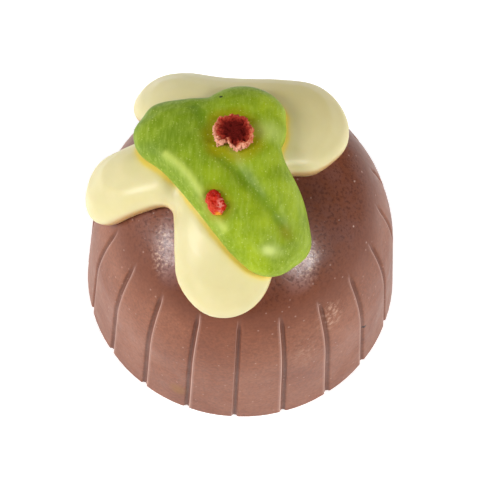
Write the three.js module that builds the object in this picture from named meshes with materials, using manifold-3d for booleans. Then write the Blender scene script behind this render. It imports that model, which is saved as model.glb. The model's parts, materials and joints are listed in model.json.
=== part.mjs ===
// A moulded milk chocolate in the shape of a small Christmas pudding. A fluted, domed body carries
// a poured piece of white chocolate with four lobes, a piped piece of green chocolate over it, and
// two crumbs of dried red fruit. Millimetres, +Z up, origin in the middle of the flat base.

import * as THREE from 'three';
import { mergeVertices } from 'three/addons/utils/BufferGeometryUtils.js';
import Module from 'manifold-3d';

const wasm = await Module();
wasm.setup();

const degree = Math.PI / 180;

// Moulded body: each tilt is that of the outward normal, measured from straight up
const baseRadius = 15;
const wallHeight = 8.6;
const wallTilt = 85.5 * degree;
const barrelBend = 25;
const barrelTilt = 64.8 * degree;
const shoulderBend = 6;
const crownTilt = 30 * degree;
const bodyRings = { crown: 5, shoulder: 5, barrel: 7, wall: 3 };

// Flutes round the side of the body, with slightly swollen panels between them
const fluteCount = 20;
const firstFluteTurn = 0.9 * degree;
const fluteHalfTurn = 1.35 * degree;
const fluteDepth = 0.22;
const fluteTopHeight = 17.3;
const fluteFullHeight = 16.2;
const panelSwell = 0.07;
const panelStations = [0, 0.25, 0.5, 0.75, 1];

// Free space between one piece and the next
const clearance = 0.1;

// Strokes of poured chocolate. Each place is [right, back, half width], measured over the skin of
// the body from the middle of its crown, as on a paper pattern laid over it.
const white = {
  strokes: [
    [[-4, 0.8, 3.4], [-8.5, 0.1, 3.4], [-12.5, -0.5, 3.6]],
    [[-2, 5.4, 4.2], [-5, 6.9, 3.9], [-7.6, 8.6, 3.5]],
    [[-2, 5.4, 4.3], [1.5, 5, 5.1], [4.3, 5.3, 4.8]],
    [[-2, 1, 4.6], [-1.7, -4, 4.4], [-1.5, -8.3, 4.4]],
  ],
  middle: [-3, 2],
  blend: 0.35,
  thickness: 2.7,
  edgeLevel: 0.9,
  undercut: 0.3,
  columns: 104,
};
const green = {
  strokes: [
    [[-6.2, 2.6, 2.8], [-4.6, 0.9, 2.6], [-2.3, -2.2, 2.25], [0, -4.8, 2.3], [2.1, -6.2, 2.7]],
    [[-6.1, 2.7, 2.8], [-4.7, 2.8, 2.8]],
    [[-0.5, 3.2, 3.5], [0.3, 0.9, 2.3], [1.9, -1.9, 2.1], [3.2, -4, 2.1], [3.7, -5.7, 2.1]],
  ],
  middle: [-1, -0.5],
  blend: 0.22,
  thickness: 1.9,
  edgeLevel: 0.6,
  undercut: 0.2,
  columns: 72,
};

// Cross-section of a stroke: 2 is an ellipse, and more is fuller at the shoulders
const fullness = 2.2;
const stepsPerStroke = 16;

// How far the green chocolate sags beside the white: it starts to sink this share of a stroke's
// half width inside the white outline, and lies on the body this share outside it. It reaches down
// round the white by a set amount.
const sagStart = 0.2;
const sagEnd = 0.9;
const greenReachDown = 1.2;

// Crumbs of dried fruit: radii at even turns from the right, seen from above, then heights over
// the green chocolate of the middle, of the rim and of the widest part
const largeCrumb = {
  place: [-1.1, 1.5],
  radii: [1.9, 1.8, 1.65, 1.6, 1.7, 1.6, 1.45, 1.85, 1.8, 1.85, 1.9, 2.05, 1.2, 1.35, 1.4, 2.2, 2.2, 1.95],
  middleHeight: 0.45,
  rimHeight: 1.15,
  wideHeight: 0.6,
  rimShare: 0.78,
};
const smallCrumb = {
  place: [-2.05, -3.95],
  radii: [1.05, 1.0, 0.9, 0.95, 1.15, 1.25, 0.95, 0.8, 0.8, 0.85, 0.95, 1.05, 1.1, 1.1, 1.05, 1.1, 1.1, 1.05],
  middleHeight: 0.8,
  rimHeight: 0.75,
  wideHeight: 0.35,
  rimShare: 0.6,
};
const crumbDepth = 0.4;

// The body's side as sections of its outline, from the middle of the crown down to the base
const wallSlant = wallHeight / Math.sin(wallTilt);
const besideCrown = wallSlant * Math.cos(wallTilt)
  + barrelBend * (Math.sin(wallTilt) - Math.sin(barrelTilt))
  + shoulderBend * (Math.sin(barrelTilt) - Math.sin(crownTilt));
const crownBend = (baseRadius - besideCrown) / Math.sin(crownTilt);
const bodyHeight = crownBend * (1 - Math.cos(crownTilt))
  + shoulderBend * (Math.cos(crownTilt) - Math.cos(barrelTilt))
  + barrelBend * (Math.cos(barrelTilt) - Math.cos(wallTilt))
  + wallHeight;
const sections = [
  { bend: crownBend, from: 0, to: crownTilt, rings: bodyRings.crown },
  { bend: shoulderBend, from: crownTilt, to: barrelTilt, rings: bodyRings.shoulder },
  { bend: barrelBend, from: barrelTilt, to: wallTilt, rings: bodyRings.barrel },
  { bend: 0, from: wallTilt, to: wallTilt, rings: bodyRings.wall },
];
for (const section of sections) {
  section.length = section.bend > 0 ? section.bend * (section.to - section.from) : wallSlant;
}

// Radius, height and tilt of the smooth body, at a distance over its skin from the crown's middle
function outlineAt(distance) {
  let radius = 0;
  let height = bodyHeight;
  let left = distance;
  for (const { bend, from, to, length } of sections) {
    const here = Math.min(left, length);
    if (bend > 0) {
      const tilt = from + (to - from) * here / length;
      radius += bend * (Math.sin(tilt) - Math.sin(from));
      height -= bend * (Math.cos(from) - Math.cos(tilt));
      if (left <= length) return { radius, height, tilt };
    } else {
      radius += here * Math.cos(wallTilt);
      height -= here * Math.sin(wallTilt);
    }
    left -= here;
  }
  return { radius, height, tilt: wallTilt };
}

// A point of the pattern laid over the body, raised off its skin
function overBody(right, back, raise) {
  const distance = Math.hypot(right, back);
  const { radius, height, tilt } = outlineAt(distance);
  const stretch = distance > 0 ? (radius + raise * Math.sin(tilt)) / distance : 0;
  return [right * stretch, back * stretch, height + raise * Math.cos(tilt)];
}

// A closed skin: a first point, rings of equally many points, and a last point
function skinOf(first, rings, last) {
  const columns = rings[0].length;
  const points = [first, ...rings.flat(), last];
  const lastRing = 1 + (rings.length - 1) * columns;
  const faces = [];
  for (let column = 0; column < columns; column += 1) {
    const next = (column + 1) % columns;
    faces.push(0, 1 + column, 1 + next);
    for (let start = 1; start < lastRing; start += columns) {
      const below = start + columns;
      faces.push(start + column, below + column, below + next);
      faces.push(start + column, below + next, start + next);
    }
    faces.push(points.length - 1, lastRing + next, lastRing + column);
  }
  const geometry = new THREE.BufferGeometry();
  geometry.setAttribute('position', new THREE.Float32BufferAttribute(points.flat(), 3));
  geometry.setIndex(faces);
  return geometry;
}

function solidOf(geometry) {
  const merged = mergeVertices(geometry);
  return new wasm.Manifold(new wasm.Mesh({
    numProp: 3,
    vertProperties: merged.attributes.position.array,
    triVerts: new Uint32Array(merged.index.array),
  }));
}

// One piece cut clear of its neighbour
function cutClear(geometry, neighbour) {
  const { vertProperties, triVerts } = solidOf(geometry).subtract(solidOf(neighbour)).getMesh();
  const cut = new THREE.BufferGeometry();
  cut.setAttribute('position', new THREE.BufferAttribute(vertProperties, 3));
  cut.setIndex(new THREE.BufferAttribute(triVerts, 1));
  return cut;
}

// Turns round the body at which its side is drawn: the bottom of each flute, then its panel
function sideStations() {
  const turnPerFlute = 2 * Math.PI / fluteCount;
  const panelTurn = turnPerFlute - 2 * fluteHalfTurn;
  const stations = [];
  for (let flute = 0; flute < fluteCount; flute += 1) {
    const turn = firstFluteTurn + flute * turnPerFlute;
    stations.push({ turn, raise: -fluteDepth });
    for (const share of panelStations) {
      const swell = 4 * panelSwell * share * (1 - share);
      stations.push({ turn: turn + fluteHalfTurn + panelTurn * share, raise: swell });
    }
  }
  return stations;
}

function bodyGeometry() {
  const stations = sideStations();
  const rings = [];
  let start = 0;
  for (const section of sections) {
    for (let ring = 1; ring <= section.rings; ring += 1) {
      const { radius, height, tilt } = outlineAt(start + section.length * ring / section.rings);
      const relief = 1 - THREE.MathUtils.smoothstep(height, fluteFullHeight, fluteTopHeight);
      rings.push(stations.map(({ turn, raise }) => {
        const reach = radius + relief * raise * Math.sin(tilt);
        return [reach * Math.sin(turn), -reach * Math.cos(turn), Math.max(height, 0)];
      }));
    }
    start += section.length;
  }
  return skinOf([0, 0, bodyHeight], rings, [0, 0, 0]);
}

function smoothStroke(places) {
  const curve = new THREE.CatmullRomCurve3(places.map((place) => new THREE.Vector3(...place)));
  return curve.getPoints(stepsPerStroke).map((point) => point.toArray());
}

// How deep inside a stroke a place is: 1 on its line, 0 at its edge, negative outside
function depthInStroke(stroke, right, back) {
  let deepest = -Infinity;
  for (let step = 0; step < stroke.length - 1; step += 1) {
    const [startRight, startBack, startWidth] = stroke[step];
    const [endRight, endBack, endWidth] = stroke[step + 1];
    const runRight = endRight - startRight;
    const runBack = endBack - startBack;
    const along = (right - startRight) * runRight + (back - startBack) * runBack;
    const share = THREE.MathUtils.clamp(along / (runRight ** 2 + runBack ** 2), 0, 1);
    const away = Math.hypot(right - startRight - share * runRight, back - startBack - share * runBack);
    deepest = Math.max(deepest, 1 - away / THREE.MathUtils.lerp(startWidth, endWidth, share));
  }
  return deepest;
}

// The same for strokes that have run into one another
function depthIn({ strokes, blend }) {
  const curves = strokes.map(smoothStroke);
  return (right, back) => curves.map((curve) => depthInStroke(curve, right, back)).reduce((one, other) => {
    const mix = Math.max(blend - Math.abs(one - other), 0) / blend;
    return Math.max(one, other) + mix * mix * blend / 4;
  });
}

// Share of the full thickness that chocolate reaches at a depth inside its strokes
function domeAt(depth) {
  const out = 1 - THREE.MathUtils.clamp(depth, 0, 1);
  return (1 - out ** fullness) ** (1 / fullness);
}

// Outline of poured chocolate: points spaced evenly, each with its inward direction
function outlineOf(depth, [middleRight, middleBack], count) {
  const rays = 720;
  const stride = 0.25;
  const halvings = 20;
  const slopeStep = 0.02;
  const edge = [];
  for (let ray = 0; ray <= rays; ray += 1) {
    const turn = 2 * Math.PI * ray / rays;
    const placeAt = (reach) => [middleRight + reach * Math.cos(turn), middleBack + reach * Math.sin(turn)];
    let outer = stride;
    while (depth(...placeAt(outer)) > 0) outer += stride;
    let inner = outer - stride;
    for (let halving = 0; halving < halvings; halving += 1) {
      const half = (inner + outer) / 2;
      if (depth(...placeAt(half)) > 0) inner = half;
      else outer = half;
    }
    edge.push(new THREE.Vector2(...placeAt(outer)));
  }
  return new THREE.Path(edge).getSpacedPoints(count).slice(0, count).map((point) => {
    const slopeRight = depth(point.x + slopeStep, point.y) - depth(point.x - slopeStep, point.y);
    const slopeBack = depth(point.x, point.y + slopeStep) - depth(point.x, point.y - slopeStep);
    return { point, inward: new THREE.Vector2(slopeRight, slopeBack).normalize() };
  });
}

// Rings of a poured piece: shares of the way out from its middle, then distances in from its edge,
// then turns of the rounded edge down to its foot
const innerShares = [0.15, 0.3, 0.45, 0.6, 0.74, 0.88];
const edgeInsets = [0.9, 0.45, 0.15, 0];
const edgeTurns = [30 * degree, 60 * degree, 90 * degree];

// A poured piece: topAt and footAt are heights over the body, and grow adds to its outline
function pouredPiece({ middle, columns, undercut }, depth, grow, topAt, footAt) {
  const outline = outlineOf(depth, middle, columns);
  const ringAt = (inset) => outline.map(({ point, inward }) => point.clone().addScaledVector(inward, inset - grow));
  const centre = new THREE.Vector2(...middle);
  const innermost = ringAt(edgeInsets[0]);
  const innerRings = innerShares.map((share) => innermost.map((point) => centre.clone().lerp(point, share)));
  const raised = (ring, raiseAt) => ring.map(({ x, y }) => overBody(x, y, raiseAt(x, y)));
  const topRings = [...innerRings, ...edgeInsets.map(ringAt)].map((ring) => raised(ring, topAt));
  const sideRings = edgeTurns.map((turn) => {
    const raiseAt = (x, y) => THREE.MathUtils.lerp(topAt(x, y), footAt(x, y), Math.sin(turn));
    return raised(ringAt(undercut * (1 - Math.cos(turn))), raiseAt);
  });
  const footRings = [innermost, ...innerRings.toReversed()].map((ring) => raised(ring, footAt));
  const first = overBody(...middle, topAt(...middle));
  const last = overBody(...middle, footAt(...middle));
  return skinOf(first, [...topRings, ...sideRings, ...footRings], last);
}

const whiteDepth = depthIn(white);
const greenDepth = depthIn(green);

function whiteTop(right, back) {
  return white.edgeLevel + (white.thickness - white.edgeLevel) * domeAt(whiteDepth(right, back));
}

// Height of what carries the green chocolate, which sags to the body beside the white
function supportAt(right, back) {
  return white.thickness * THREE.MathUtils.smoothstep(whiteDepth(right, back), -sagEnd, sagStart);
}

function greenTop(right, back) {
  const rise = (green.thickness - green.edgeLevel) * domeAt(greenDepth(right, back));
  return supportAt(right, back) + green.edgeLevel + rise;
}

function greenFoot(right, back) {
  return Math.max(clearance, supportAt(right, back) - greenReachDown);
}

function whitePiece(grow) {
  return pouredPiece(white, whiteDepth, grow, (x, y) => whiteTop(x, y) + grow, () => clearance - 2 * grow);
}

function greenPiece(grow) {
  return pouredPiece(green, greenDepth, grow, (x, y) => greenTop(x, y) + grow, greenFoot);
}

// A crumb on the green chocolate: a ragged rim round a hollow or a low middle
function crumb({ place, radii, middleHeight, rimHeight, wideHeight, rimShare }) {
  const [placeRight, placeBack] = place;
  const level = greenTop(...place);
  const patternScale = crownBend / (crownBend + level);
  const ringAt = (share, height) => radii.map((radius, index) => {
    const turn = 2 * Math.PI * index / radii.length;
    const reach = radius * share * patternScale;
    return overBody(placeRight + reach * Math.cos(turn), placeBack + reach * Math.sin(turn), level + height);
  });
  const rings = [
    ringAt(rimShare / 2, (middleHeight + rimHeight) / 2),
    ringAt(rimShare, rimHeight),
    ringAt((1 + rimShare) / 2, (rimHeight + wideHeight) / 2),
    ringAt(1, wideHeight),
    ringAt(rimShare, -crumbDepth),
  ];
  return skinOf(overBody(...place, level + middleHeight), rings, overBody(...place, level - crumbDepth));
}

function piece(name, geometry, color, roughness) {
  const mesh = new THREE.Mesh(geometry, new THREE.MeshStandardMaterial({ color, roughness, metalness: 0 }));
  mesh.name = name;
  return mesh;
}

const greenClear = greenPiece(clearance);
const group = new THREE.Group();
group.add(piece('chocolate_body', bodyGeometry(), '#96695c', 0.4));
group.add(piece('white_chocolate', whitePiece(0), '#f2e6b4', 0.35));
group.add(piece('green_chocolate', cutClear(greenPiece(0), whitePiece(clearance)), '#8ca532', 0.35));
group.add(piece('fruit_crumb_large', cutClear(crumb(largeCrumb), greenClear), '#a0322a', 0.8));
group.add(piece('fruit_crumb_small', cutClear(crumb(smallCrumb), greenClear), '#c81e0f', 0.7));

export default group;
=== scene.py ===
# %% [markdown]
# # A milk chocolate moulded as a small Christmas pudding
# The sweet has four parts. A fluted, domed body of milk chocolate stands on a flat base. White
# chocolate was poured over its crown and ran out in four lobes. Green chocolate was piped over the
# white in the shape of a leaf, and two crumbs of dried red fruit were pressed into it while it was
# soft. The measured model gives the size and the place of each part. Here each part gets a finer
# mesh and a finish of its own.

# %% Load the measured model
import json
import math

import bmesh
import bpy
import numpy as np
from mathutils import Matrix, Vector, noise
from mathutils.bvhtree import BVHTree

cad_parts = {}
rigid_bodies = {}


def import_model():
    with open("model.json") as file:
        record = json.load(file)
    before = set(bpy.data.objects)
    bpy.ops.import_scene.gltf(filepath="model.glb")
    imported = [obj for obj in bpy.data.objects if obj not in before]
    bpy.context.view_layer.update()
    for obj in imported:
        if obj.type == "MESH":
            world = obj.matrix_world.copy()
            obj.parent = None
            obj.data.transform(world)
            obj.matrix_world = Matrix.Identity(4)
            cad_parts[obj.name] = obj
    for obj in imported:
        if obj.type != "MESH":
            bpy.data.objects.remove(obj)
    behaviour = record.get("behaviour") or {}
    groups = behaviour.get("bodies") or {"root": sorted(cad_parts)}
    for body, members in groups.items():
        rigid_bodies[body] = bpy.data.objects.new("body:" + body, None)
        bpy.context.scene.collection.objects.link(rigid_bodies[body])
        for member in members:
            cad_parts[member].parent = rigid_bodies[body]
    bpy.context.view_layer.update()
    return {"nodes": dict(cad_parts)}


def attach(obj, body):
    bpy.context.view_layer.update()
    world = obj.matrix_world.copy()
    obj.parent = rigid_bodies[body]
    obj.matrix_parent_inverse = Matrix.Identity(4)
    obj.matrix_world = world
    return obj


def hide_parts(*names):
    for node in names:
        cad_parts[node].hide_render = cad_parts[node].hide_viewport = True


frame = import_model()
print("measured nodes:", sorted(frame["nodes"]))

# %% [markdown]
# ## Helpers
# Sizes on a sweet are easiest to think of in millimetres, and Blender works in metres, so `MM` turns
# one into the other. Colours are written as hex values, as they look on a screen, and shaders want
# them linear. A material is a chain of nodes, so one small function adds a node and wires it in.

# %% Millimetres, colours and nodes
MM = 0.001

# Settings that many nodes share
times_mode = dict(operation="MULTIPLY")
smooth_mode = dict(interpolation_type="SMOOTHSTEP")


def linear(hex_colour):
    """An sRGB hex colour as the linear RGBA that a shader wants."""
    shares = [int(hex_colour[i : i + 2], 16) / 255 for i in (1, 3, 5)]
    return [c / 12.92 if c <= 0.04045 else ((c + 0.055) / 1.055) ** 2.4 for c in shares] + [1.0]


def add_node(tree, kind, settings=None, stops=None, out=0, **sockets):
    """Adds a shader node and returns one output, the first unless out names another. An input is
    named with _ for each space, or as s and its number, and takes a value or an output."""
    made = tree.nodes.new("ShaderNode" + kind)
    for name, value in (settings or {}).items():
        setattr(made, name, value)
    if stops:
        ramp = made.color_ramp
        while len(ramp.elements) < len(stops):
            ramp.elements.new(1.0)
        for element, (place, colour) in zip(ramp.elements, stops):
            element.position = place
            element.color = linear(colour)
    for name, value in sockets.items():
        key = int(name[1:]) if name[0] == "s" and name[1:].isdigit() else name.replace("_", " ")
        socket = made.inputs[key]
        if isinstance(value, bpy.types.NodeSocket):
            tree.links.new(value, socket)
        else:
            socket.default_value = value
    return made.outputs[out]


def new_material(name):
    """An empty material with its output node."""
    material = bpy.data.materials.new(name)
    material.use_nodes = True
    material.node_tree.nodes.clear()
    output = material.node_tree.nodes.new("ShaderNodeOutputMaterial")
    return material, material.node_tree, output


print("milk brown in linear light:", [round(c, 3) for c in linear("#8a5239")])

# %% [markdown]
# ## Camera
# The photograph looks down on the sweet from in front, 66 degrees above the table, through a long
# lens that keeps it nearly free of perspective. The camera is also turned a few degrees about its
# own line of sight, because the sweet leans that much in the frame.

# %% Aim the camera
camera_place = Vector((0.0, -89.96, 213.02)) * MM
camera_target = Vector((-0.23, 0.0, 8.0)) * MM
camera_roll = math.radians(3.305)
lens_mm = 176.3
sensor_mm = 36.0

camera = bpy.data.objects.new("camera", bpy.data.cameras.new("camera"))
bpy.context.scene.collection.objects.link(camera)
line_of_sight = camera_target - camera_place
upright = line_of_sight.to_track_quat("-Z", "Y").to_matrix().to_4x4()
camera.matrix_world = Matrix.Translation(camera_place) @ upright @ Matrix.Rotation(camera_roll, 4, "Z")
camera.data.lens = lens_mm
camera.data.sensor_width = sensor_mm
camera.data.clip_start = 10 * MM
bpy.context.scene.camera = camera
print("camera", round(line_of_sight.length / MM), "mm from the sweet")

# %% [markdown]
# ## Lamps
# The sweet stands on white in a photo studio. Two soft boxes stand to its left and right, high up.
# They put the two soft glints on the shoulder of the chocolate, where the finish adds a painted sheen
# and painted sparks. Two wider sheets stand low on either side and light the walls. A square area
# light gives the soft edge that a soft box gives.

# %% Soft boxes and sheets
bpy.context.scene.view_settings.view_transform = "Standard"
bpy.context.scene.view_settings.look = "None"

lit_point = Vector((0, 0, 15 * MM))

# Turn from the front to the right and height over the table in degrees, distance and size in
# metres, power in watts
lamps = {
    "left_soft_box": (-72, 42, 0.55, 0.18, 1.75),
    "right_soft_box": (62, 50, 0.55, 0.16, 1.6),
    "left_sheet": (-78, 14, 0.7, 0.4, 0.85),
    "right_sheet": (78, 14, 0.7, 0.4, 0.6),
}

for name, (turn_degrees, height_degrees, distance, size, power) in lamps.items():
    light = bpy.data.lights.new(name, "AREA")
    light.shape = "SQUARE"
    light.size = size
    light.energy = power
    lamp = bpy.data.objects.new(name, light)
    bpy.context.scene.collection.objects.link(lamp)
    turn, height = math.radians(turn_degrees), math.radians(height_degrees)
    flat = math.cos(height)
    towards_lamp = Vector((math.sin(turn) * flat, -math.cos(turn) * flat, math.sin(height)))
    lamp.location = lit_point + towards_lamp * distance
    lamp.rotation_euler = (-towards_lamp).to_track_quat("-Z", "Y").to_euler()

# %% [markdown]
# ## The room
# The room is brightest at table height and to the sides. It is darker overhead, which leaves the
# crown dark between its glints, and darker behind, which leaves the far lobe in shade.

# %% Room
room_strength = 0.84
world = bpy.data.worlds.new("white_surroundings")
world.use_nodes = True
tree = world.node_tree
background = tree.nodes["Background"]
direction = add_node(tree, "TexCoord", out="Generated")
across, backwards, upwards = add_node(tree, "SeparateXYZ", Vector=direction).node.outputs
room_stops = ((0.0, "#ffffff"), (0.3, "#c0c0c0"), (0.62, "#686868"), (1.0, "#505050"))
room = add_node(tree, "ValToRGB", stops=room_stops, Fac=upwards)
aside = add_node(tree, "Math", {"operation": "ABSOLUTE"}, s0=across)
aside = add_node(tree, "MapRange", Value=aside, From_Min=0.1, From_Max=0.8, To_Min=0.45)
behind = add_node(tree, "MapRange", Value=backwards, From_Min=0.1, From_Max=0.8, To_Min=1.0, To_Max=0.55)
walls = add_node(tree, "Math", times_mode, s0=aside, s1=behind)
room = add_node(tree, "VectorMath", {"operation": "SCALE"}, s0=room, Scale=walls)
tree.links.new(room, background.inputs["Color"])
background.inputs["Strength"].default_value = room_strength
bpy.context.scene.world = world
print("room nodes:", len(tree.nodes))

# %% [markdown]
# ## The table
# The photographer's table is white acrylic that is lit from below, so it shows as plain white and
# its light comes back up on the sweet. It lies a hair under the foot, so that the two don't touch.

# %% Table
table_width = 4.0
gap_under_foot = 0.02 * MM

bpy.ops.object.select_all(action="DESELECT")
bpy.ops.mesh.primitive_plane_add(size=table_width, location=(0, 0, -gap_under_foot))
table = bpy.context.object
table.name = table.data.name = "white_table"
table_white, tree, output = new_material("lit_white_acrylic_table")
surface = add_node(tree, "BsdfPrincipled", Base_Color=linear("#fbfbfb"), Roughness=0.9,
                   Emission_Color=linear("#ffffff"), Emission_Strength=0.5)
tree.links.new(surface, output.inputs[0])
table.data.materials.append(table_white)
print("table", table_width, "m wide")

# %% [markdown]
# ## The moulded body: its outline
# The body came out of a mould, so it is round and even. Seen from the side its outline is a nearly
# upright wall, a slow bend inwards, a tight shoulder, and a shallow dome for a crown. Each stretch
# has one bend, so a few numbers say it all. `side_at` walks down over the skin from the middle of
# the crown and says where it is.

# %% Outline of the body
base_radius = 14.985
wall_height = 8.6
wall_tilt = math.radians(85.5)
barrel_bend = 25.0
barrel_tilt = math.radians(64.8)
shoulder_bend = 6.0
crown_tilt = math.radians(30)

# The crown's bend makes all the stretches together as wide as the base
wall_slant = wall_height / math.sin(wall_tilt)
beside_crown = wall_slant * math.cos(wall_tilt)
beside_crown += barrel_bend * (math.sin(wall_tilt) - math.sin(barrel_tilt))
beside_crown += shoulder_bend * (math.sin(barrel_tilt) - math.sin(crown_tilt))
crown_bend = (base_radius - beside_crown) / math.sin(crown_tilt)

# Bend in mm, then the tilts at which a stretch starts and ends
crown = (crown_bend, 0.0, crown_tilt)
shoulder = (shoulder_bend, crown_tilt, barrel_tilt)
barrel = (barrel_bend, barrel_tilt, wall_tilt)
stretches = (crown, shoulder, barrel)
body_height = wall_height + sum(bend * (math.cos(start) - math.cos(end)) for bend, start, end in stretches)
skin_length = wall_slant + sum(bend * (end - start) for bend, start, end in stretches)


def side_at(distance):
    """Radius and height in mm of the plain body, at a distance over its skin from the crown's middle."""
    radius, height = 0.0, body_height
    for bend, start, end in stretches:
        here = min(distance, bend * (end - start))
        tilt = start + here / bend
        radius += bend * (math.sin(tilt) - math.sin(start))
        height -= bend * (math.cos(start) - math.cos(tilt))
        distance -= here
        if distance <= 0:
            return radius, height
    return radius + distance * math.cos(wall_tilt), height - distance * math.sin(wall_tilt)


print("body height", round(body_height, 2), "mm, over the skin", round(skin_length, 2), "mm")

# %% [markdown]
# ## The moulded body: its mesh
# By hand such a body starts as a ring of points at its foot. The ring is pulled up step by step and
# narrowed at each step, as on a potter's wheel, and closed at the top. The steps are short where
# the flutes end, so that their ends stay crisp. The points of the ring are bunched at the flutes,
# in fourteen columns to a panel.

# %% Draw the rings up from the foot
flute_count = 20
first_flute = math.radians(0.9)
flute_turn = 2 * math.pi / flute_count
column_degrees = (0, 0.35, 0.7, 1.05, 1.5, 2.4, 5.2, 9.0, 12.8, 15.6, 16.5, 16.95, 17.3, 17.65)
column_turns = [math.radians(degrees) for degrees in column_degrees]

flute_ends = (9.5, 12.6)
short_step, plain_step = 0.24, 0.5
foot_rings, last_ring = (0, 0.06, 0.2), 0.9
ring_distances = [skin_length - step for step in foot_rings]
while ring_distances[-1] > last_ring:
    at_flute_ends = flute_ends[0] < ring_distances[-1] < flute_ends[1]
    ring_distances.append(ring_distances[-1] - (short_step if at_flute_ends else plain_step))


def next_ring(rise, share):
    """Extrudes the selected ring upwards by rise mm and sizes it by a share."""
    bpy.ops.mesh.extrude_region_move(TRANSFORM_OT_translate={"value": (0, 0, rise * MM)})
    bpy.ops.transform.resize(value=(share, share, 1), center_override=(0, 0, 0))


def close_ring():
    """Closes the selected ring with a fan of faces to its middle."""
    bpy.ops.mesh.extrude_region_move()
    bpy.ops.mesh.merge(type="CENTER")


bpy.ops.object.select_all(action="DESELECT")
bpy.ops.mesh.primitive_circle_add(vertices=flute_count * len(column_turns), fill_type="NOTHING")
body = bpy.context.object
body.name = body.data.name = "moulded_body"
for vertex in body.data.vertices:
    flute, column = divmod(vertex.index, len(column_turns))
    turn = first_flute + flute * flute_turn + column_turns[column]
    vertex.co = Vector((math.sin(turn), -math.cos(turn), 0)) * base_radius * MM

bpy.ops.object.mode_set(mode="EDIT")
bpy.ops.mesh.select_all(action="SELECT")
radius_now, height_now = side_at(ring_distances[0])
for distance in ring_distances[1:]:
    radius, height = side_at(distance)
    next_ring(height - height_now, radius / radius_now)
    radius_now, height_now = radius, height
bpy.ops.mesh.extrude_region_move(TRANSFORM_OT_translate={"value": (0, 0, (body_height - height_now) * MM)})
bpy.ops.mesh.merge(type="CENTER")
bpy.ops.mesh.select_all(action="SELECT")
bpy.ops.mesh.normals_make_consistent(inside=False)
bpy.ops.object.mode_set(mode="OBJECT")
print("rings:", len(ring_distances), "points:", len(body.data.vertices))

# %% [markdown]
# ## The moulded body: flutes
# The mould had thin ribs that pressed a crease between one panel and the next. Each crease is less
# than a millimetre wide, a quarter of a millimetre deep, and fades out just below the shoulder. The
# points at each crease are chosen by their turn round the body and pushed in along their normals,
# band by band. The panels between swell a little.

# %% Press the flutes in
flute_depth = 0.25
column_depths = {0: 1.0, 1: 0.76, 13: 0.76, 2: 0.4, 12: 0.4, 3: 0.13, 11: 0.13, 6: -0.06, 7: -0.08, 8: -0.06}
flute_tops = (17.25, 17.3, 17.2, 17.35, 17.1, 17.3, 17.25, 17.4, 17.2, 17.3)
fade_length = 1.15
no_end = 99.0
# Each band's start and end below a flute's top, in fade lengths, and its share of the full depth
fade_bands = ((0.0, 0.3, 0.12), (0.3, 0.62, 0.4), (0.62, 1.0, 0.74), (1.0, no_end, 1.0))


def select_points(piece, wanted):
    """Selects the points for which wanted(index, place in mm) is true, and opens the mesh."""
    bpy.ops.object.mode_set(mode="OBJECT")
    bpy.ops.object.select_all(action="DESELECT")
    piece.select_set(True)
    bpy.context.view_layer.objects.active = piece
    for part in (*piece.data.polygons, *piece.data.edges):
        part.select = False
    for vertex in piece.data.vertices:
        vertex.select = wanted(vertex.index, vertex.co / MM)
    bpy.ops.object.mode_set(mode="EDIT")


def column_of(place):
    """Which flute a point of the body belongs to, and its column in that flute's panel."""
    a_little = math.radians(0.2)
    turn = (math.atan2(place.x, -place.y) - first_flute) % (2 * math.pi)
    flute = int((turn + a_little) // flute_turn) % flute_count
    within = (turn - flute * flute_turn) % (2 * math.pi)
    within = 0.0 if within > flute_turn else within
    return flute, min(range(len(column_turns)), key=lambda i: abs(column_turns[i] - within))


plain = [vertex.co / MM for vertex in body.data.vertices]
columns = [column_of(place) for place in plain]
below_top = [flute_tops[flute % len(flute_tops)] - place.z for (flute, _), place in zip(columns, plain)]

for start, end, share in fade_bands:
    for column, depth in column_depths.items():
        def in_band(index, place):
            return columns[index][1] == column and start < below_top[index] / fade_length <= end
        select_points(body, in_band)
        bpy.ops.transform.shrink_fatten(value=-flute_depth * depth * share * MM)
print("flutes:", flute_count, "each", flute_depth, "mm deep")

# %% [markdown]
# ## The moulded body: foot
# A chocolate's foot has a small rounded edge, where the filled mould was scraped level. The lowest
# ring is extruded down and in by small steps and closed, and the body is raised onto the table.

# %% Close the foot
at_foot = 0.001
foot_steps = ((-0.05, -0.06), (-0.15, -0.02), (-1.2, 0.0), (-6.0, 0.0))
lift = 0.105

select_points(body, lambda index, place: plain[index].z < at_foot)
radius_now = base_radius
for inwards, drop in foot_steps:
    next_ring(drop, (radius_now + inwards) / radius_now)
    radius_now += inwards
close_ring()
select_points(body, lambda index, place: True)
bpy.ops.transform.translate(value=(0, 0, lift * MM))
bpy.ops.mesh.normals_make_consistent(inside=False)
bpy.ops.object.mode_set(mode="OBJECT")
bpy.ops.object.shade_smooth()
print("body:", len(body.data.polygons), "faces, size", [round(x / MM, 2) for x in body.dimensions], "mm")

# %% [markdown]
# ## The moulded body: what the creases tell the finish
# Each crease is painted dark inside, as shade, and the lip nearer the front gets a painted highlight.
# A finish can't tell a crease from a panel by place alone, so both are stored on the points, column
# by column.

# %% Store the creases
def paint(piece, name, shares):
    """Stores one number per point for a material to read."""
    layer = piece.data.attributes.new(name, "FLOAT", "POINT")
    layer.data.foreach_set("value", np.clip(shares, 0, 1).astype(np.float32))


# Shares of painted shade in each crease and of a painted highlight on its lip nearer the front
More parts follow.
